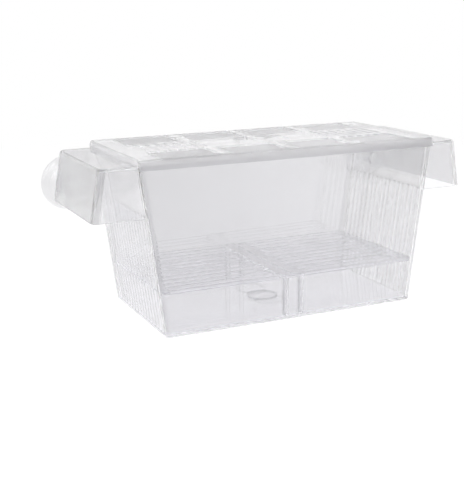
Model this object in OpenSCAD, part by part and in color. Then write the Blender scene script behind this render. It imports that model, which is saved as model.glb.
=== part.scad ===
// Breeding box that hangs on the inside of an aquarium wall.
// A clear trough with slotted end walls carries a hood-like wing at each end.
// Two slotted plates make a false floor, a lattice lid closes the top, and a
// suction cup behind each wing holds the box to the glass.
// Origin: centre of the trough's underside. X runs along the box, Y from the
// front to the rear, Z up. Every length is in millimetres.

/* [Trough] */
// outer length at the rim
trough_top_l = 203; // [160:1:260]
// outer length at the underside
trough_foot_l = 175; // [140:1:230]
// outer width at the rim
trough_top_w = 96; // [70:1:140]
// outer width at the underside
trough_foot_w = 95.2; // [70:0.1:140]
// height from the underside to the rim
trough_h = 105; // [80:1:150]
// thickness of the four walls
wall_t = 2; // [1.2:0.1:3]
// thickness of the floor
floor_t = 2; // [1.2:0.1:3]
// outside radius of the upright corners
corner_r = 3; // [2.5:0.1:8]
// inside radius of the upright corners, also that of the plates' corners
inner_r = 2.5; // [1:0.1:3.5]
// bevel round the underside
foot_bevel = 0.5; // [0.3:0.1:2]

/* [End wall slots] */
// width of one upright slot
slot_w = 2.2; // [1:0.1:3.5]
// distance from slot to slot
slot_pitch = 5.3; // [4.2:0.1:10]
// least distance from the side of the box to the middle of a slot
slot_edge = 7.5; // [6:0.1:15]
// height of the plain band over the slots
slot_plain = 30; // [12:1:50]

/* [Wings] */
// length of a wing's top plate beyond the rim
wing_l = 22.5; // [15:0.5:40]
// how far the end wall leans out towards its lower edge
wing_flare = 5.4; // [0:0.1:8]
// width of a wing
wing_w = 87.2; // [60:0.1:92]
// depth of a wing below the rim
wing_drop = 31.5; // [25:0.5:45]
// thickness of a wing's walls and top
wing_t = 2; // [1.2:0.1:3]
// outside radius of a wing's corners
wing_r = 5; // [3:0.1:10]
// bevel round a wing's top plate
wing_bevel = 0.8; // [0.2:0.1:1.5]

/* [False floor] */
// height of the plates' underside
plate_z = 26.6; // [15:0.1:40]
// thickness of a plate
plate_t = 1.8; // [1:0.1:3]
// width of one long slot
gap_w = 3.4; // [2:0.1:5]
// distance from long slot to long slot
gap_pitch = 7.45; // [5.5:0.05:12]
// least distance from the side of a plate to the middle of a slot
gap_edge = 4; // [3.5:0.1:12]
// solid strip beside the middle of the box
mid_strip = 8; // [4:0.5:15]
// solid strip beside the end wall
end_strip = 5; // [3:0.5:15]

/* [Posts and ring] */
// distance of a post from the middle of the box
post_x = 5.5; // [3:0.1:15]
// width of a post along the wall
post_w = 2.6; // [1.5:0.1:4]
// how far a post stands off the wall
post_d = 3; // [2:0.1:6]
// outside radius of the ring on the floor
ring_r = 10.5; // [6:0.1:20]
// width of the ring's wall
ring_t = 1.4; // [0.8:0.1:3]
// height of the ring above the floor
ring_h = 1; // [0.5:0.1:3]

/* [Lid] */
// how far the lid reaches past the rim at each end
lid_over = 0.7; // [0.2:0.1:3]
// height of the recessed panels over the rim
panel_z = 2.9; // [2:0.1:5]
// thickness of panels and raised lattice
sheet_t = 1.5; // [1:0.1:2.5]
// how far the lattice stands over the panels
raise = 1.2; // [0.5:0.1:4]
// thickness of the skirts and of the lattice's sides
skirt_t = 1.2; // [0.8:0.1:2.5]
// how far the long skirts hang below the rim
skirt_lap = 2; // [1:0.1:8]
// lean of the skirts between their lower edge and the top
skirt_lean = 0.6; // [0:0.1:1.5]
// outside radius of the lid's corners
lid_r = 2.4; // [2:0.1:8]
// bevel round the top of the lid
lid_bevel = 0.9; // [0.2:0.1:1.4]
// width of the raised panel at each end
end_panel = 15; // [8:0.5:25]
// width of the raised band along the middle
band_w = 35; // [20:0.5:50]
// width of the middle cross bar
mid_bar = 6; // [3:0.5:12]
// width of the two outer cross bars
side_bar = 7.6; // [3:0.1:12]
// distance of the outer cross bars from the middle
side_bar_x = 44.8; // [30:0.1:60]
// width of the raised rims along the front and the rear
rim_bar = 3.2; // [2:0.1:8]
// radius of the two half-round feeding openings
feed_r = 15.5; // [8:0.5:22]
// width of one vent slot
vent_w = 2.8; // [1:0.1:4]
// distance from vent slot to vent slot
vent_pitch = 6.4; // [4.5:0.1:10]
// length of a vent slot
vent_l = 27; // [12:0.5:40]

/* [Suction cups] */
// outside radius of a cup
cup_r = 17.8; // [14:0.1:22]
// distance from the wing's rear wall to the cup's rim
cup_h = 11; // [9:0.5:16]
// how far the cup's middle lies beyond the trough's rim
cup_out = 14.5; // [12:0.5:20]
// how far the cup's middle lies below the rim
cup_drop = 23.5; // [14:0.5:24]
// flat width of the rim
cup_rim_w = 1.5; // [0.8:0.1:3]
// thickness of the rim
cup_rim_t = 1; // [0.6:0.1:2]
// radius of the hub behind the cup
hub_r = 7; // [5:0.1:8]
// thickness of the hub
hub_t = 1.3; // [0.8:0.1:3]
// thickness of the cup over its middle
cup_mid_t = 1.8; // [1:0.1:3]
// radius of the neck through the wall
neck_r = 3.6; // [2:0.1:4.5]
// radius of the button inside the wing
button_r = 5.4; // [4.8:0.1:7]
// thickness of the button
button_t = 2.2; // [1:0.1:4]
// radius of the bead round the cup's back
bead_r = 14; // [11:0.1:16]
// height of that bead
bead_h = 0.5; // [0.2:0.1:1]

/* [Fits] */
// gap between the lid's long skirts and the trough
lid_fit = 0.25; // [0.1:0.05:0.6]
// gap under the lid and under the plates
rest_gap = 0.1; // [0.05:0.05:0.4]
// gap between the plates and the walls
plate_fit = 0.3; // [0.15:0.05:0.8]
// gap between the two plates
plate_split = 0.4; // [0.2:0.1:1]
// gap between a cup's neck and its hole, and along the wall
neck_fit = 0.05; // [0.02:0.01:0.1]

/* [Hidden] */

// how far a cut runs past the face that it leaves
cut = 1;
// segments in one rounded corner of a loft
corner_n = 8;
// segments in a full circle
round_n = 64;
// steps along the curves of a suction cup
curve_n = 14;
// powers of the curves on a cup's back and in its dish
back_power = 0.9;
dish_power = 2.2;
// half the width of the bead on a cup's back
bead_half = 0.7;

// outer half length and half width of the trough at height z
function half_l(z) = (trough_foot_l + (trough_top_l - trough_foot_l) * z / trough_h) / 2;
function half_w(z) = (trough_foot_w + (trough_top_w - trough_foot_w) * z / trough_h) / 2;

wing_foot_z = trough_h - wing_drop;
wing_top_x = trough_top_l / 2 + wing_l;
slot_top_z = trough_h - slot_plain;
slot_n = floor((trough_foot_w - 2 * slot_edge) / slot_pitch) + 1;

plate_half_w = half_w(plate_z) - wall_t - plate_fit;
plate_top_z = plate_z + plate_t;
gap_n = floor((2 * plate_half_w - 2 * gap_edge) / gap_pitch) + 1;
// slots stop at this distance from the middle, clear of the end strip
gap_end_x = half_l(plate_z) - wall_t - plate_fit - end_strip;

lid_half_l = trough_top_l / 2 + lid_over;
skirt_in_w = trough_top_w / 2 + lid_fit;
lid_half_w = skirt_in_w + skirt_t;
lid_foot_z = trough_h - skirt_lap;
panel_top_z = trough_h + panel_z;
lattice_top_z = panel_top_z + raise;
end_panel_x = trough_top_l / 2 - end_panel;
vent_n = floor((end_panel_x - side_bar_x) / vent_pitch) + 1;

cup_x = trough_top_l / 2 + cup_out;
cup_z = trough_h - cup_drop;
wing_rear_y = wing_w / 2;

// ring of points round a rounded rectangle: a level is [z, half length, half width, radius]
function ring(v) = [for (k = [0:3], i = [0:corner_n])
    let (a = 90 * k + 90 * i / corner_n,
        sx = (k == 0 || k == 3) ? 1 : -1,
        sy = (k < 2) ? 1 : -1)
    [sx * (v[1] - v[3]) + v[3] * cos(a), sy * (v[2] - v[3]) + v[3] * sin(a), v[0]]];

// solid through rounded rectangles, lowest level first
module loft(levels) {
    n = 4 * (corner_n + 1);
    m = len(levels);
    polyhedron(
        points = [for (v = levels) each ring(v)],
        faces = concat(
            [[for (i = [0:n - 1]) i]],
            [[for (i = [0:n - 1]) m * n - 1 - i]],
            [for (j = [0:m - 2], i = [0:n - 1])
                [j * n + i, (j + 1) * n + i, (j + 1) * n + (i + 1) % n, j * n + (i + 1) % n]]
        ),
        convexity = 2);
}

// level of the trough's outside at height z, drawn in by d
function out_level(z, d) = [z, half_l(z) - d, half_w(z) - d, corner_r - d];

// level of the trough's inside at height z
function in_level(z) = [z, half_l(z) - wall_t, half_w(z) - wall_t, inner_r];

// level of a wing's outside, which leans out towards its lower edge
function wing_x(z) = wing_top_x + wing_flare * (trough_h - z) / wing_drop;
function wing_level(z, d) = [z, wing_x(z) - d, wing_w / 2 - d, wing_r - d];

// level of the lid's outside at height z, where the skirts lean in as they rise
function lid_lean(z) = skirt_lean * (z - lid_foot_z) / (lattice_top_z - lid_foot_z);
function lid_level(z, d) =
    [z, lid_half_l - lid_lean(z) - d, lid_half_w - lid_lean(z) - d, lid_r - d];

// flat shape with round ends, l long and w wide, centred
module capsule(l, w) {
    square([l - w, w], center = true);
    for (s = [-1, 1])
        translate([s * (l - w) / 2, 0])
            circle(d = w, $fn = round_n);
}

// outline of one end wall slot: flat at the floor, round at the top
module slot_outline() {
    translate([-slot_w / 2, floor_t])
        square([slot_w, slot_top_z - slot_w / 2 - floor_t]);
    translate([0, slot_top_z - slot_w / 2])
        circle(d = slot_w, $fn = round_n);
}

// all slots of the end wall on side s
module end_slots(s) {
    inner_x = half_l(0) - wall_t - cut;
    outer_x = half_l(slot_top_z) + cut;
    for (i = [0:slot_n - 1])
        translate([s > 0 ? inner_x : -outer_x, (i - (slot_n - 1) / 2) * slot_pitch, 0])
            rotate([90, 0, 90])
                linear_extrude(outer_x - inner_x)
                    slot_outline();
}

// trough block and both wings, before the trough is hollowed
module shell() {
    loft([out_level(0, foot_bevel), out_level(foot_bevel, 0), out_level(trough_h, 0)]);
    difference() {
        loft([wing_level(wing_foot_z, 0), wing_level(trough_h - wing_bevel, 0),
            wing_level(trough_h, wing_bevel)]);
        loft([wing_level(wing_foot_z - cut, wing_t), wing_level(trough_h - wing_t, wing_t)]);
    }
}

module tank() {
    color("lightsteelblue", 0.35)
    union() {
        difference() {
            shell();
            loft([in_level(floor_t), in_level(trough_h + cut)]);
            for (s = [-1, 1]) {
                end_slots(s);
                translate([s * cup_x, wing_rear_y - wing_t - cut, cup_z])
                    rotate([-90, 0, 0])
                        cylinder(r = neck_r + neck_fit, h = wing_t + 2 * cut, $fn = round_n);
            }
        }
        // posts under the inner ends of the plates
        for (sx = [-1, 1], sy = [-1, 1])
            translate([sx * post_x - post_w / 2,
                sy > 0 ? half_w(0) - wall_t - post_d : -half_w(0) + wall_t / 2, floor_t / 2])
                cube([post_w, post_d + wall_t / 2, plate_z - rest_gap - floor_t / 2]);
        // ring on the floor
        translate([0, 0, floor_t / 2])
            difference() {
                cylinder(r = ring_r, h = floor_t / 2 + ring_h, $fn = round_n);
                translate([0, 0, floor_t / 2])
                    cylinder(r = ring_r - ring_t, h = ring_h + cut, $fn = round_n);
            }
    }
}

// upright section through a plate: its end follows the lean of the end wall
module plate_section() {
    polygon([
        [plate_split / 2, plate_z],
        [half_l(plate_z) - wall_t - plate_fit, plate_z],
        [half_l(plate_top_z) - wall_t - plate_fit, plate_top_z],
        [plate_split / 2, plate_top_z]
    ]);
}

// plan of a plate with its outer corners rounded
module plate_plan() {
    far_x = half_l(plate_top_z) - wall_t - plate_fit;
    square([far_x - inner_r, 2 * plate_half_w]);
    translate([0, inner_r])
        square([far_x, 2 * (plate_half_w - inner_r)]);
    for (y = [inner_r, 2 * plate_half_w - inner_r])
        translate([far_x - inner_r, y])
            circle(r = inner_r, $fn = round_n);
}

// the right plate; the left one is its mirror image
module floor_plate() {
    gap_l = gap_end_x - mid_strip;
    difference() {
        intersection() {
            translate([0, plate_half_w, 0])
                rotate([90, 0, 0])
                    linear_extrude(2 * plate_half_w)
                        plate_section();
            translate([0, -plate_half_w, plate_z - cut])
                linear_extrude(plate_t + 2 * cut)
                    plate_plan();
        }
        for (i = [0:gap_n - 1])
            translate([mid_strip + gap_l / 2, (i - (gap_n - 1) / 2) * gap_pitch, plate_z - cut])
                linear_extrude(plate_t + 2 * cut)
                    capsule(gap_l, gap_w);
    }
}

module left_floor_plate() {
    color("gainsboro", 0.45)
    mirror([1, 0, 0])
        floor_plate();
}

module right_floor_plate() {
    color("gainsboro", 0.45)
    floor_plate();
}

// plan of the end panels, the bars and the middle band, drawn in by d on each side
module bars_plan(d) {
    far = lid_half_l + cut;
    for (s = [-1, 1]) {
        translate([s * (end_panel_x + far) / 2, 0])
            square([far - end_panel_x - 2 * d, 2 * (lid_half_w + cut)], center = true);
        translate([s * side_bar_x, 0])
            square([side_bar - 2 * d, 2 * (lid_half_w + cut)], center = true);
    }
    square([mid_bar - 2 * d, 2 * (lid_half_w + cut)], center = true);
    square([2 * far, band_w - 2 * d], center = true);
}

// plan of the whole raised lattice, with the rims along the front and the rear
module lattice_plan() {
    bars_plan(0);
    for (s = [-1, 1])
        translate([0, s * (lid_half_w + (cut - rim_bar) / 2)])
            square([2 * (lid_half_l + cut), rim_bar + cut], center = true);
}

// plan of everything inside the lid's skirts
module inside_plan() {
    square([2 * (lid_half_l - skirt_t - skirt_lean), 2 * (skirt_in_w - skirt_lean)], center = true);
}

// one half-round feeding opening on side s of the middle bar
module feed_plan(s) {
    intersection() {
        translate([s * mid_bar / 2, 0])
            circle(r = feed_r, $fn = round_n);
        translate([s > 0 ? mid_bar / 2 : -mid_bar / 2 - feed_r, -feed_r])
            square([feed_r, 2 * feed_r]);
    }
}

module lid() {
    color("aliceblue", 0.5)
    difference() {
        union() {
            loft([lid_level(lid_foot_z, 0), lid_level(panel_top_z - lid_bevel, 0),
                lid_level(panel_top_z, lid_bevel)]);
            intersection() {
                loft([lid_level(panel_top_z - lid_bevel - cut, 0),
                    lid_level(lattice_top_z - lid_bevel, 0),
                    lid_level(lattice_top_z, lid_bevel)]);
                translate([0, 0, panel_top_z - lid_bevel - cut])
                    linear_extrude(raise + lid_bevel + 2 * cut)
                        lattice_plan();
            }
        }
        // room for the trough's rim between the long skirts
        translate([-lid_half_l - cut, -skirt_in_w, lid_foot_z - cut])
            cube([2 * (lid_half_l + cut), 2 * skirt_in_w, skirt_lap + rest_gap + cut]);
        // hollow below the panels
        translate([0, 0, trough_h])
            linear_extrude(panel_z - sheet_t)
                inside_plan();
        // hollow below the bars, the end panels and the band
        translate([0, 0, trough_h])
            linear_extrude(panel_z + raise - sheet_t)
                intersection() {
                    inside_plan();
                    bars_plan(skirt_t);
                }
        // vent slots along the band and feeding openings beside the middle bar
        for (s = [-1, 1]) {
            for (i = [0:vent_n - 1])
                translate([s * (side_bar_x + i * vent_pitch), 0, trough_h])
                    rotate([0, 0, 90])
                        linear_extrude(panel_z + raise + cut)
                            capsule(vent_l, vent_w);
            translate([0, 0, trough_h])
                linear_extrude(panel_z + raise + cut)
                    feed_plan(s);
        }
    }
}

// back of a cup between its hub and its rim, as distance from the wall
function back_a(r) = neck_fit + hub_t
    + (cup_h - cup_rim_t - neck_fit - hub_t) * pow((r - hub_r) / (cup_r - hub_r), back_power);
// dish of a cup inside its rim
function dish_a(r) = neck_fit + hub_t + cup_mid_t
    + (cup_h - neck_fit - hub_t - cup_mid_t) * pow(r / (cup_r - cup_rim_w), dish_power);

// half section of a cup: radius, then distance from the wing's rear wall
module cup_section() {
    inner_a = -wing_t - neck_fit;
    low_r = bead_r - bead_half;
    high_r = bead_r + bead_half;
    dish_r = cup_r - cup_rim_w;
    polygon(concat(
        [[0, inner_a - button_t],
            [button_r - button_t / 2, inner_a - button_t],
            [button_r, inner_a - button_t / 2],
            [button_r, inner_a],
            [neck_r, inner_a],
            [neck_r, neck_fit],
            [hub_r, neck_fit]],
        [for (i = [0:curve_n])
            let (r = hub_r + (low_r - hub_r) * i / curve_n)
            [r, back_a(r)]],
        [[bead_r, back_a(bead_r) - bead_h]],
        [for (i = [0:curve_n / 2])
            let (r = high_r + (cup_r - high_r) * 2 * i / curve_n)
            [r, back_a(r)]],
        [[cup_r, cup_h]],
        [for (i = [0:curve_n])
            let (r = dish_r * (1 - i / curve_n))
            [r, dish_a(r)]]
    ));
}

module suction_cup(s) {
    translate([s * cup_x, wing_rear_y, cup_z])
        rotate([-90, 0, 0])
            rotate_extrude($fn = round_n)
                cup_section();
}

module left_suction_cup() {
    color("whitesmoke", 0.6)
    suction_cup(-1);
}

module right_suction_cup() {
    color("whitesmoke", 0.6)
    suction_cup(1);
}

tank();
lid();
left_floor_plate();
right_floor_plate();
left_suction_cup();
right_suction_cup();
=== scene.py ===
import math

import bpy
from mathutils import Matrix, Vector


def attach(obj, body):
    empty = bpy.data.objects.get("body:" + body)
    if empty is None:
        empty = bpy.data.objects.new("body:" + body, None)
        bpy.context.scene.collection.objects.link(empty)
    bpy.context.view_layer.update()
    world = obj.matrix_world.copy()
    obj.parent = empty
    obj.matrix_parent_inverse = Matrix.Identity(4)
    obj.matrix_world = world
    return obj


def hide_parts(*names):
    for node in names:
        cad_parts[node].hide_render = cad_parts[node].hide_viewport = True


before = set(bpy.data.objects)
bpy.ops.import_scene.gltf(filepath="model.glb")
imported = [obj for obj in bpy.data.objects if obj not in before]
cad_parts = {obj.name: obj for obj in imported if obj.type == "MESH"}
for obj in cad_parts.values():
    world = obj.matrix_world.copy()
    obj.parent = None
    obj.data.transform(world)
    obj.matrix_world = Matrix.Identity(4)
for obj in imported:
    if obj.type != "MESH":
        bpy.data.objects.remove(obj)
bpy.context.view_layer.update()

MM = 0.001

# sizes repeated from the part's source, in millimetres
TROUGH_H = 105
TROUGH_FOOT_L = 175
TROUGH_TOP_L = 203
WALL_T = 2
FLOOR_T = 2
FOOT_BEVEL = 0.6
INNER_Y = 45.6
CORNER_Y = 43
SLOTTED_Y = 44
WING_REAR_Y = 43.6
WING_END_OUT = 10
CUP_X = 116
CUP_Z = 81.5
POST_X = 11
RING_R = 11
PANEL_TOP_Z = 107.9
PANEL_FOOT_Z = 106.4
RIM_Y = 45.5
SKIRT_Z = 105.2
# how far a face's middle may lie from the plane that it is told by
NEAR_PLANE = 0.25
# a face is level, upright or rounded by the size of its normal's parts
LEVEL = 0.9
UPRIGHT = 0.5
ROUNDED = 0.25

# plastic finishes: grey of the tint, roughness, IOR, alpha, height of the flow marks in mm
# painted light and shade: the tank, lid and plates are one clear plastic, and its grey is set
# zone by zone, lighter greys painting light and darker greys painting shade on their zones
FINISHES = {
    # painted shade: the rounded edges of the tank and plates take a darker grey, so that they
    # show as dark outlines
    "polished_edges_painted_shade": (0.72, 0.03, 1.5, 0.95, 0.0),
    "clear_walls": (0.83, 0.02, 1.25, 0.75, 0.3),
    # painted shade: the slotted bars of the end walls take a darker grey than the plain walls
    "slotted_end_walls": (0.74, 0.02, 1.45, 0.70, 0.0),
    # painted highlight: the sides of the slots in the end walls take an almost white grey, so
    # that they show as light lines
    "slot_sides": (0.99, 0.02, 1.45, 0.70, 0.0),
    "clear_wings": (0.93, 0.04, 1.4, 0.72, 0.3),
    # painted shade: the end faces of the wings take a darker grey than the rest of the wings
    "satin_wing_ends_painted_shade": (0.80, 0.22, 1.45, 0.72, 0.3),
    "clear_floor": (0.95, 0.02, 1.55, 0.95, 0.1),
    # painted shade: the rounded corners and the posts take a darker grey than the walls
    "posts_and_corners": (0.75, 0.02, 1.5, 0.95, 0.0),
    # painted shade: the ring in the floor takes a dark grey
    "floor_ring": (0.50, 0.03, 1.5, 0.95, 0.0),
    # painted light and shade on the lid: the lattice takes a light grey, and the windows and
    # skirts take darker greys
    "clear_lattice": (0.97, 0.02, 1.4, 0.65, 0.2),
    "satin_windows_painted_shade": (0.66, 0.30, 1.45, 0.75, 0.3),
    "satin_skirts_painted_shade": (0.72, 0.28, 1.45, 0.75, 0.3),
    "clear_plates": (0.81, 0.02, 1.5, 0.95, 0.0),
    # painted highlight: the sides of a plate's slots take an almost white grey, so that they
    # show as light lines
    "plate_slot_sides": (0.98, 0.02, 1.5, 0.95, 0.0),
    "soft_cup_vinyl": (0.86, 0.14, 1.38, 0.70, 0.2),
}

# painted light and shade on the end walls: the slotted bars take a darker grey and the plain
# band over the slots is painted lighter; the band's height in mm and its grey
PAINTED_LIGHT_BAND = {"slotted_end_walls": (75, 78, 0.95)}

# camera, in degrees, metres and pixels of the frame
AZIMUTH, ELEVATION, ROLL = -24.83, 13.26, -0.67
CAMERA_AT = (-0.2825, -0.5621, 0.1965)
FRAME_W, FRAME_H = 464, 481
FOCAL_PX = 965.8
CENTRE_PX = (231.0, 229.2)

# lamps: place, aim, width, height, power
LAMPS = {
    "key": ((-0.95, -0.75, 0.75), (0, 0, 0.06), 0.5, 1.3, 9.0),
    "fill": ((1.1, 0.6, 1.2), (0, 0, 0.05), 1.1, 1.1, 5.0),
}
# the studio is white up to this height and grey overhead, as a part of the full height
WHITE_TO, GREY_FROM = 0.22, 0.75
HORIZON_WHITE = (1, 1, 1, 1)
ZENITH_GREY = (0.45, 0.45, 0.46, 1)
FLOOR_R = 6
FLOOR_BELOW = 0.4 * MM
FLOOR_GREY = 0.8
FLOOR_LIFT = 0.40
# distances from the object between which the floor turns white
NEAR_FLOOR, FAR_FLOOR = 0.25, 0.8
# painted shade: share by which the floor's colour and glow are darkened on the left where it
# is seen through the plastic
FLOOR_PAINTED_SHADE = 0.16
FALL_LEFT, FALL_RIGHT = -0.1, 0.4
# rays deeper than this in the plastic leave it unbent
DEEPEST = 7
FREED_LIGHT = (0.93, 0.93, 0.94, 1)
LAMP_LIGHT = (0.98, 0.98, 0.982, 1)
# shift of a tint's green and blue from its grey
GREEN_SHIFT, BLUE_SHIFT = -0.003, 0.012
# what handling marks do to colour and roughness
MARK_SHADE, MARK_ROUGH = 0.95, 0.12
RIPPLE_STRENGTH = 0.5

# edges of the mouldings, angles in degrees
SAME_PLANE, SHARP_EDGE, SMOOTH_BELOW = 0.5, 32, 50
WELD = 0.002 * MM
EDGE_STEPS = 2
# rounded edge of each moulding in mm
TANK_EDGE, LID_EDGE, PLATE_EDGE = 0.28, 0.25, 0.25
CUP_TURNS, CUP_SMOOTH_BELOW, CUP_WELD = 80, 45, 0.01 * MM


# camera

def place_camera():
    azimuth, elevation, roll = (math.radians(a) for a in (AZIMUTH, ELEVATION, ROLL))
    back = Vector((math.sin(azimuth) * math.cos(elevation),
                   -math.cos(azimuth) * math.cos(elevation), math.sin(elevation)))
    right = Vector((math.cos(azimuth), math.sin(azimuth), 0))
    up = back.cross(right)
    side = math.cos(roll) * right + math.sin(roll) * up
    top = -math.sin(roll) * right + math.cos(roll) * up
    data = bpy.data.cameras.new("camera")
    data.sensor_fit = "HORIZONTAL"
    data.sensor_width = 36
    data.lens = data.sensor_width * FOCAL_PX / FRAME_W
    data.shift_x = (FRAME_W / 2 - CENTRE_PX[0]) / FRAME_W
    data.shift_y = (CENTRE_PX[1] - FRAME_H / 2) / FRAME_W
    data.clip_start = 0.01
    camera = bpy.data.objects.new("camera", data)
    turn = Matrix((side, top, back)).transposed().to_4x4()
    camera.matrix_world = Matrix.Translation(CAMERA_AT) @ turn
    bpy.context.scene.collection.objects.link(camera)
    bpy.context.scene.camera = camera


# nodes

def math_node(tree, operation, first, second=None, third=None, clamp=False):
    node = tree.nodes.new("ShaderNodeMath")
    node.operation = operation
    node.use_clamp = clamp
    for socket, value in zip(node.inputs, (first, second, third)):
        if value is None:
            continue
        if isinstance(value, (int, float)):
            socket.default_value = value
        else:
            tree.links.new(value, socket)
    return node.outputs[0]


def sum_of_rays(tree, names):
    """1 for the named kinds of ray, 0 for the rest"""
    path = tree.nodes.new("ShaderNodeLightPath")
    total = path.outputs[names[0]]
    for name in names[1:]:
        total = math_node(tree, "ADD", total, path.outputs[name], clamp=True)
    return total


def smooth_range(tree, value, low, high, at_low, at_high):
    ramp = tree.nodes.new("ShaderNodeMapRange")
    ramp.interpolation_type = "SMOOTHSTEP"
    ramp.inputs["From Min"].default_value = low
    ramp.inputs["From Max"].default_value = high
    ramp.inputs["To Min"].default_value = at_low
    ramp.inputs["To Max"].default_value = at_high
    tree.links.new(value, ramp.inputs["Value"])
    return ramp.outputs["Result"]


def mix_shader(tree, share, first, second):
    mix = tree.nodes.new("ShaderNodeMixShader")
    tree.links.new(share, mix.inputs[0])
    tree.links.new(first, mix.inputs[1])
    tree.links.new(second, mix.inputs[2])
    return mix.outputs[0]


def noise(tree, place, scale, detail, rough=0.5, stretch=None):
    if stretch is not None:
        turn = tree.nodes.new("ShaderNodeMapping")
        turn.inputs["Scale"].default_value = stretch
        turn.inputs["Rotation"].default_value = (0.3, 0.5, 0.4)
        tree.links.new(place, turn.inputs["Vector"])
        place = turn.outputs[0]
    node = tree.nodes.new("ShaderNodeTexNoise")
    node.inputs["Scale"].default_value = scale
    node.inputs["Detail"].default_value = detail
    node.inputs["Roughness"].default_value = rough
    tree.links.new(place, node.inputs["Vector"])
    return node.outputs["Fac"]


# light and stage

def light_the_studio():
    scene = bpy.context.scene
    scene.view_settings.view_transform = "Standard"
    scene.cycles.max_bounces = 40
    scene.cycles.transmission_bounces = 40
    scene.cycles.glossy_bounces = 12
    scene.cycles.transparent_max_bounces = 48
    world = bpy.data.worlds.new("studio")
    scene.world = world
    world.use_nodes = True
    tree = world.node_tree
    tree.nodes.clear()
    split = tree.nodes.new("ShaderNodeSeparateXYZ")
    sky = tree.nodes.new("ShaderNodeTexCoord").outputs["Generated"]
    tree.links.new(sky, split.inputs[0])
    ramp = tree.nodes.new("ShaderNodeValToRGB")
    low, high = ramp.color_ramp.elements
    low.position, low.color = WHITE_TO, HORIZON_WHITE
    high.position, high.color = GREY_FROM, ZENITH_GREY
    tree.links.new(split.outputs["Z"], ramp.inputs["Fac"])
    glow = tree.nodes.new("ShaderNodeBackground")
    tree.links.new(ramp.outputs["Color"], glow.inputs["Color"])
    out = tree.nodes.new("ShaderNodeOutputWorld")
    tree.links.new(glow.outputs[0], out.inputs["Surface"])
    for name, (place, aim, wide, high, power) in LAMPS.items():
        lamp = bpy.data.lights.new(name, "AREA")
        lamp.shape = "RECTANGLE"
        lamp.size = wide
        lamp.size_y = high
        lamp.energy = power
        holder = bpy.data.objects.new(name, lamp)
        turn = (Vector(aim) - Vector(place)).to_track_quat("-Z", "Y").to_matrix().to_4x4()
        holder.matrix_world = Matrix.Translation(place) @ turn
        scene.collection.objects.link(holder)


def lay_the_floor():
    bpy.ops.object.select_all(action="DESELECT")
    bpy.ops.mesh.primitive_circle_add(vertices=96, radius=FLOOR_R, fill_type="NGON",
                                      location=(0, 0, -FLOOR_BELOW))
    floor = bpy.context.object
    floor.name = "floor"
    bpy.ops.object.transform_apply(location=True)
    mat = bpy.data.materials.new("pale_floor")
    mat.use_nodes = True
    tree = mat.node_tree
    tree.nodes.clear()
    place = tree.nodes.new("ShaderNodeTexCoord").outputs["Object"]
    split = tree.nodes.new("ShaderNodeSeparateXYZ")
    tree.links.new(place, split.inputs[0])
    # painted shade: the floor seen through the plastic is darker towards the left
    fall = smooth_range(tree, split.outputs["X"], FALL_LEFT, FALL_RIGHT, FLOOR_PAINTED_SHADE, 0.0)
    through = sum_of_rays(tree, ["Is Transmission Ray"])
    level = math_node(tree, "SUBTRACT", 1.0, math_node(tree, "MULTIPLY", through, fall))
    grey = tree.nodes.new("ShaderNodeCombineColor")
    for channel in ("Red", "Green", "Blue"):
        tree.links.new(math_node(tree, "MULTIPLY", level, FLOOR_GREY), grey.inputs[channel])
    matt = tree.nodes.new("ShaderNodeBsdfDiffuse")
    tree.links.new(grey.outputs[0], matt.inputs["Color"])
    seen = sum_of_rays(tree, ["Is Camera Ray", "Is Glossy Ray", "Is Transmission Ray"])
    lift = tree.nodes.new("ShaderNodeEmission")
    seen_level = math_node(tree, "MULTIPLY", seen, level)
    tree.links.new(math_node(tree, "MULTIPLY", seen_level, FLOOR_LIFT),
                   lift.inputs["Strength"])
    near = tree.nodes.new("ShaderNodeAddShader")
    tree.links.new(matt.outputs[0], near.inputs[0])
    tree.links.new(lift.outputs[0], near.inputs[1])
    # away from the object the floor turns as white as the backdrop
    white = tree.nodes.new("ShaderNodeEmission")
    tree.links.new(level, white.inputs["Strength"])
    length = tree.nodes.new("ShaderNodeVectorMath")
    length.operation = "LENGTH"
    tree.links.new(place, length.inputs[0])
    away = smooth_range(tree, length.outputs["Value"], NEAR_FLOOR, FAR_FLOOR, 0.0, 1.0)
    seen_away = math_node(tree, "MULTIPLY", away, seen)
    out = tree.nodes.new("ShaderNodeOutputMaterial")
    tree.links.new(mix_shader(tree, seen_away, near.outputs[0], white.outputs[0]),
                   out.inputs["Surface"])
    floor.data.materials.append(mat)


# effects that the plastics share

def new_group(name, inputs, output, kind):
    group = bpy.data.node_groups.new(name, "ShaderNodeTree")
    for title, socket_kind, value in inputs:
        socket = group.interface.new_socket(title, in_out="INPUT", socket_type=socket_kind)
        if value is not None:
            socket.default_value = value
    group.interface.new_socket(output, in_out="OUTPUT", socket_type=kind)
    return group, group.nodes.new("NodeGroupInput"), group.nodes.new("NodeGroupOutput")


def flow_ripple_group():
    """slow sink and flow marks of a thin moulding, as a height"""
    group, ins, outs = new_group(
        "flow_ripple",
        [("Place", "NodeSocketVector", None), ("Slow", "NodeSocketFloat", 1.0),
         ("Fine", "NodeSocketFloat", 0.2)], "Height", "NodeSocketFloat")
    sinks = noise(group, ins.outputs["Place"], scale=22, detail=2)
    slow = math_node(group, "MULTIPLY", sinks, ins.outputs["Slow"])
    streaks = noise(group, ins.outputs["Place"], scale=150, detail=2)
    fine = math_node(group, "MULTIPLY", streaks, ins.outputs["Fine"])
    group.links.new(math_node(group, "ADD", slow, fine), outs.inputs["Height"])
    return group


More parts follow.
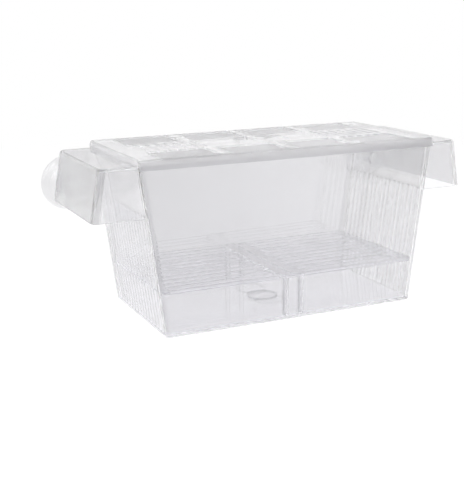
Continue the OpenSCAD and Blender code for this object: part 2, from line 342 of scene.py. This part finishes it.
def handling_group():
    """cloudy patches and hairline scuffs of a handled clear moulding, as a mask"""
    group, ins, outs = new_group(
        "handling_marks",
        [("Place", "NodeSocketVector", None), ("Clouds", "NodeSocketFloat", 0.35),
         ("Scuffs", "NodeSocketFloat", 0.5)], "Mask", "NodeSocketFloat")
    cloud_contrast, cloud_start, hair_contrast, hair_start = 2.2, 0.8, 6.0, 0.62
    patches = noise(group, ins.outputs["Place"], scale=35, detail=3)
    cloudy = math_node(group, "SUBTRACT",
                       math_node(group, "MULTIPLY", patches, cloud_contrast), cloud_start,
                       clamp=True)
    hairs = noise(group, ins.outputs["Place"], scale=1.0, detail=2, rough=0.6,
                  stretch=(60, 900, 900))
    parted = math_node(group, "SUBTRACT", hairs, hair_start, clamp=True)
    lines = math_node(group, "MULTIPLY", parted, hair_contrast, clamp=True)
    scuffed = math_node(group, "MULTIPLY", math_node(group, "MULTIPLY", lines, patches),
                        ins.outputs["Scuffs"])
    clouded = math_node(group, "MULTIPLY", cloudy, ins.outputs["Clouds"])
    total = math_node(group, "ADD", clouded, scuffed, clamp=True)
    group.links.new(total, outs.inputs["Mask"])
    return group


# plastics

def clear_plastic(name, grey, rough, ior, alpha, ripple):
    mat = bpy.data.materials.new(name)
    mat.use_nodes = True
    tree = mat.node_tree
    tree.nodes.clear()
    place = tree.nodes.new("ShaderNodeTexCoord").outputs["Object"]
    shader = tree.nodes.new("ShaderNodeBsdfPrincipled")
    shader.inputs["IOR"].default_value = ior
    shader.inputs["Transmission Weight"].default_value = 1.0
    shader.inputs["Alpha"].default_value = alpha

    marks = tree.nodes.new("ShaderNodeGroup")
    marks.node_tree = handling
    tree.links.new(place, marks.inputs["Place"])
    tint = (grey, grey + GREEN_SHIFT, min(grey + BLUE_SHIFT, 1.0))
    color = tree.nodes.new("ShaderNodeMix")
    color.data_type = "RGBA"
    color.inputs["A"].default_value = (*tint, 1)
    color.inputs["B"].default_value = (*(MARK_SHADE * c for c in tint), 1)
    tree.links.new(marks.outputs["Mask"], color.inputs["Factor"])
    # painted light: the plain band over the slots is lighter than the bars below it
    if name in PAINTED_LIGHT_BAND:
        low, high, lighter = PAINTED_LIGHT_BAND[name]
        split = tree.nodes.new("ShaderNodeSeparateXYZ")
        tree.links.new(place, split.inputs[0])
        shade = smooth_range(tree, split.outputs["Z"], low * MM, high * MM, grey, lighter)
        plain = tree.nodes.new("ShaderNodeCombineColor")
        for channel in ("Red", "Green", "Blue"):
            tree.links.new(shade, plain.inputs[channel])
        tree.links.new(plain.outputs[0], color.inputs["A"])
    tree.links.new(color.outputs["Result"], shader.inputs["Base Color"])
    tree.links.new(math_node(tree, "MULTIPLY_ADD", marks.outputs["Mask"], MARK_ROUGH, rough),
                   shader.inputs["Roughness"])
    if ripple:
        flow = tree.nodes.new("ShaderNodeGroup")
        flow.node_tree = flow_ripple
        tree.links.new(place, flow.inputs["Place"])
        bump = tree.nodes.new("ShaderNodeBump")
        bump.inputs["Strength"].default_value = RIPPLE_STRENGTH
        bump.inputs["Distance"].default_value = ripple * MM
        tree.links.new(flow.outputs["Height"], bump.inputs["Height"])
        tree.links.new(bump.outputs["Normal"], shader.inputs["Normal"])

    # light that is caught in a wall leaves it after a few turns, and lamps shine through
    freed = tree.nodes.new("ShaderNodeBsdfTransparent")
    freed.inputs["Color"].default_value = FREED_LIGHT
    depth = tree.nodes.new("ShaderNodeLightPath").outputs["Ray Depth"]
    caught = math_node(tree, "GREATER_THAN", depth, DEEPEST)
    lamps = tree.nodes.new("ShaderNodeBsdfTransparent")
    lamps.inputs["Color"].default_value = LAMP_LIGHT
    body = mix_shader(tree, caught, shader.outputs[0], freed.outputs[0])
    out = tree.nodes.new("ShaderNodeOutputMaterial")
    tree.links.new(mix_shader(tree, sum_of_rays(tree, ["Is Shadow Ray"]), body,
                              lamps.outputs[0]), out.inputs["Surface"])
    return mat


# which finish a face gets, by its middle in mm and its normal

def tank_zone(place, normal):
    wall_x = (TROUGH_FOOT_L + (TROUGH_TOP_L - TROUGH_FOOT_L) * place.z / TROUGH_H) / 2
    beyond = abs(place.x) - wall_x
    rounded = abs(normal.x) > ROUNDED and abs(normal.y) > ROUNDED
    above_floor = place.z > FLOOR_T + 0.1
    if beyond > NEAR_PLANE:
        # painted shade: the rounded corners of the wings take the darker edge grey
        if rounded:
            return "polished_edges_painted_shade"
        # painted shade: the wings' end faces take a darker grey
        at_end = abs(normal.x) > UPRIGHT and beyond > WING_END_OUT
        return "satin_wing_ends_painted_shade" if at_end else "clear_wings"
    # painted shade: rounded corners take a darker grey
    if rounded and above_floor and abs(place.y) > CORNER_Y:
        return "posts_and_corners"
    if beyond > -WALL_T - NEAR_PLANE and above_floor:
        # painted highlight on the slot sides, painted shade on the slotted bars
        in_slot = abs(normal.y) > UPRIGHT and abs(place.y) < SLOTTED_Y
        return "slot_sides" if in_slot else "slotted_end_walls"
    if abs(place.x) < POST_X and above_floor and abs(place.y) < INNER_Y - 0.2:
        # painted shade: the ring takes a dark grey, and the posts round it a darker grey than
        # the floor
        return "floor_ring" if abs(place.y) < RING_R else "posts_and_corners"
    level = abs(normal.z) > LEVEL
    # painted shade: the bevel round the foot takes the darker edge grey
    if place.z < FOOT_BEVEL and not level:
        return "polished_edges_painted_shade"
    return "clear_floor" if level and not above_floor else "clear_walls"


def lid_zone(place, normal):
    top = normal.z > LEVEL and abs(place.z - PANEL_TOP_Z) < NEAR_PLANE
    foot = normal.z < -LEVEL and abs(place.z - PANEL_FOOT_Z) < NEAR_PLANE
    # painted shade: the windows and skirts take darker greys than the lattice
    if top or foot:
        return "satin_windows_painted_shade"
    return "satin_skirts_painted_shade" if abs(place.y) > RIM_Y or place.z < SKIRT_Z else "clear_lattice"


def plate_zone(place, normal):
    # painted highlight: a plate's slot sides take a lighter grey than its faces
    return "clear_plates" if abs(normal.z) > LEVEL else "plate_slot_sides"


# pieces

def moulding(node, name, edge, finishes, zone, edges_apart):
    """a solid's shape with its flat faces joined, its edges rounded and finishes by place;
    the finishes in edges_apart keep the first finish on their rounded edges"""
    bpy.ops.object.select_all(action="DESELECT")
    piece = bpy.data.objects.new(name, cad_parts[node].data.copy())
    bpy.context.scene.collection.objects.link(piece)
    piece.select_set(True)
    bpy.context.view_layer.objects.active = piece
    bpy.ops.object.mode_set(mode="EDIT")
    bpy.ops.mesh.select_all(action="SELECT")
    bpy.ops.mesh.remove_doubles(threshold=WELD)
    bpy.ops.mesh.dissolve_limited(angle_limit=math.radians(SAME_PLANE))
    bpy.ops.object.mode_set(mode="OBJECT")
    piece.data.materials.clear()
    for finish in finishes:
        piece.data.materials.append(plastics[finish])
    for face in piece.data.polygons:
        face.material_index = 1
    bevel = piece.modifiers.new("rounded_edges", "BEVEL")
    bevel.width = edge * MM
    bevel.segments = EDGE_STEPS
    bevel.limit_method = "ANGLE"
    bevel.angle_limit = math.radians(SHARP_EDGE)
    bevel.use_clamp_overlap = True
    # painted shade: the rounded edges take the first finish, which on the tank and plates is
    # the darker edge grey
    bevel.material = 0
    bpy.ops.object.modifier_apply(modifier=bevel.name)
    bpy.ops.object.shade_smooth_by_angle(angle=math.radians(SMOOTH_BELOW))
    flat = piece.modifiers.new("flat_faces", "WEIGHTED_NORMAL")
    flat.keep_sharp = True
    bpy.ops.object.modifier_apply(modifier=flat.name)
    for face in piece.data.polygons:
        finish = zone(face.center / MM, face.normal)
        if face.material_index or finish not in edges_apart:
            face.material_index = finishes.index(finish)
    return piece


def cup_profile():
    """outline of a suction cup as radius and distance from the wing's wall, in millimetres"""
    points = [(0, -4.25), (4.3, -4.25), (4.9, -4.05), (5.3, -3.65), (5.4, -3.15), (5.35, -2.2),
              (5.2, -2.05), (3.9, -2.05), (3.6, -1.9), (3.6, -0.1), (3.8, 0.05), (6.7, 0.05),
              (7.0, 0.3), (7.05, 1.1), (7.4, 1.75)]
    steps = 24
    # the outside flares from the hub and has a fine bead two thirds of the way out
    hub_r, flare, bead_r, bead_w, bead_h = 7.4, 10.4, 14, 0.55, 0.5
    for i in range(1, steps + 1):
        r = hub_r + flare * i / steps
        bead = bead_h * math.exp(-((r - bead_r) / bead_w) ** 2)
        points.append((r, 1.35 + 8.65 * ((r - 7) / 10.8) ** 0.9 - bead))
    points += [(17.95, 10.5), (17.8, 10.95), (17.5, 11.0), (16.5, 11.0)]
    # the dish is deepest at the axis
    dish_r, dish_deep, dish_floor = 16.3, 7.85, 3.15
    for i in range(1, steps + 1):
        r = dish_r * (1 - i / steps)
        points.append((r, dish_floor + dish_deep * (r / dish_r) ** 2.2))
    return points


def suction_cup(side, name):
    """a soft cup turned from its outline round the axis of its neck"""
    outline = cup_profile()
    x, z = side * CUP_X * MM, CUP_Z * MM
    bpy.ops.object.select_all(action="DESELECT")
    bpy.ops.mesh.primitive_plane_add(
        size=MM, location=(x, (WING_REAR_Y + outline[0][1]) * MM, z))
    cup = bpy.context.object
    cup.name = name
    bpy.ops.object.mode_set(mode="EDIT")
    bpy.ops.mesh.merge(type="CENTER")
    for (r0, a0), (r1, a1) in zip(outline, outline[1:]):
        bpy.ops.mesh.extrude_region_move(
            TRANSFORM_OT_translate={"value": ((r1 - r0) * MM, (a1 - a0) * MM, 0)})
    bpy.ops.mesh.select_all(action="SELECT")
    bpy.ops.mesh.spin(steps=CUP_TURNS, dupli=False, angle=2 * math.pi, center=(x, 0, z),
                      axis=(0, 1, 0))
    bpy.ops.mesh.select_all(action="SELECT")
    bpy.ops.mesh.remove_doubles(threshold=CUP_WELD)
    bpy.ops.mesh.normals_make_consistent(inside=False)
    bpy.ops.object.mode_set(mode="OBJECT")
    bpy.ops.object.transform_apply(location=True, rotation=True, scale=True)
    bpy.ops.object.shade_smooth_by_angle(angle=math.radians(CUP_SMOOTH_BELOW))
    cup.data.materials.append(plastics["soft_cup_vinyl"])
    return cup


def settle(piece, body, node):
    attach(piece, body)
    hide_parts(node)


place_camera()
light_the_studio()
lay_the_floor()

flow_ripple = flow_ripple_group()
handling = handling_group()
plastics = {name: clear_plastic(name, *values) for name, values in FINISHES.items()}

settle(moulding("tank", "tank_moulding", TANK_EDGE,
                ["polished_edges_painted_shade", "clear_walls", "slotted_end_walls", "slot_sides",
                 "clear_wings", "satin_wing_ends_painted_shade", "clear_floor", "posts_and_corners",
                 "floor_ring"], tank_zone,
                ("posts_and_corners", "floor_ring")),
       "tank_body", "tank")
settle(moulding("lid", "lid_moulding", LID_EDGE,
                ["clear_lattice", "satin_windows_painted_shade", "satin_skirts_painted_shade"], lid_zone, ()),
       "lid_body", "lid")
for side, sign in (("left", -1), ("right", 1)):
    plate = side + "_floor_plate"
    settle(moulding(plate, side + "_slotted_plate", PLATE_EDGE,
                    ["polished_edges_painted_shade", "clear_plates", "plate_slot_sides"], plate_zone,
                    ("clear_plates", "plate_slot_sides")),
           side + "_plate_body", plate)
    settle(suction_cup(sign, side + "_soft_cup"), "tank_body",
           side + "_suction_cup")
